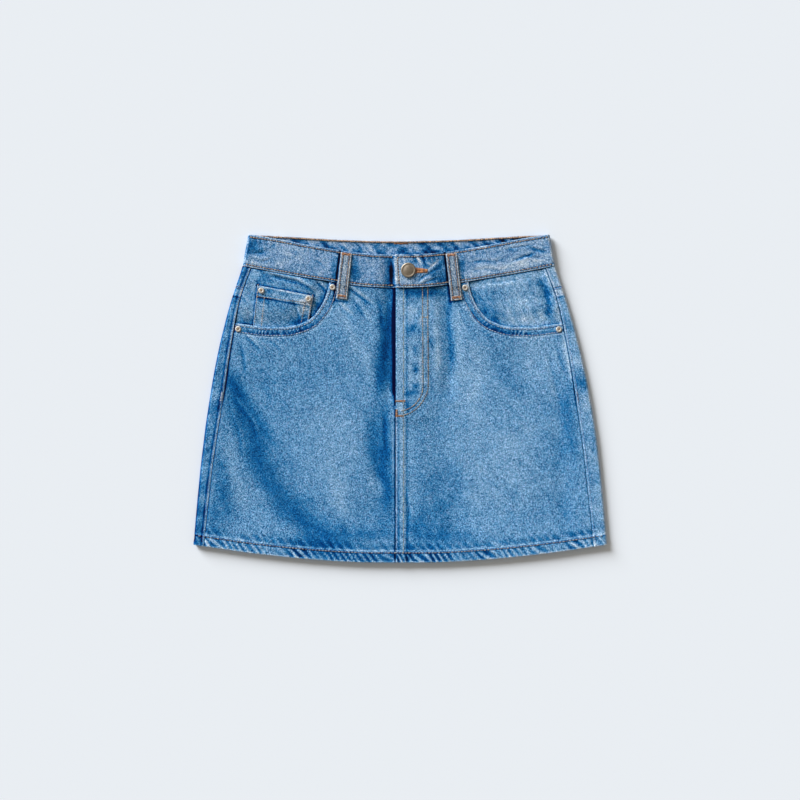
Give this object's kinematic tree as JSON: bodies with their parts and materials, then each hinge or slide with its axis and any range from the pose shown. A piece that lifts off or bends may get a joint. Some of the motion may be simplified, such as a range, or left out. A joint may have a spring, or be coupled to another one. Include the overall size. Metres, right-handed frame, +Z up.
{
  "type": "denim mini skirt",
  "caption": "Washed denim mini skirt with a button fly, scoop front pockets and belt loops, laid flat on its back.",
  "frame": {"origin": "on the surface the skirt lies on, at the middle of its outline seen from above", "axes": "+Z up out of the skirt's front, +Y from the hem to the waist, +X towards the wearer's left side (the picture's right)"},
  "size_m": [0.4802, 0.3804, 0.0127],
  "materials": {
    "denim": "stone-washed light blue denim, twill weave, matte",
    "denim_trim": "stone-washed denim, paler where it is doubled, with tan topstitching",
    "rivet_metal": "worn nickel over brass",
    "antique_brass": "dull antique brass"
  },
  "bodies": {
    "root": {"back_left": "denim", "back_right": "denim", "belt_loop_back_centre": "denim_trim", "belt_loop_back_left": "denim_trim", "belt_loop_back_right": "denim_trim", "belt_loop_front_left": "denim_trim", "belt_loop_front_right": "denim_trim", "button": "antique_brass", "coin_pocket": "denim", "front_left": "denim", "front_right": "denim", "pocket_facing_left": "denim", "pocket_facing_right": "denim", "rivet_coin_inner": "rivet_metal", "rivet_coin_outer": "rivet_metal", "rivet_pocket_left_inner": "rivet_metal", "rivet_pocket_left_outer": "rivet_metal", "rivet_pocket_right_inner": "rivet_metal", "rivet_pocket_right_outer": "rivet_metal", "waistband": "denim_trim", "yoke_left": "denim", "yoke_right": "denim"}
  },
  "joints": []
}
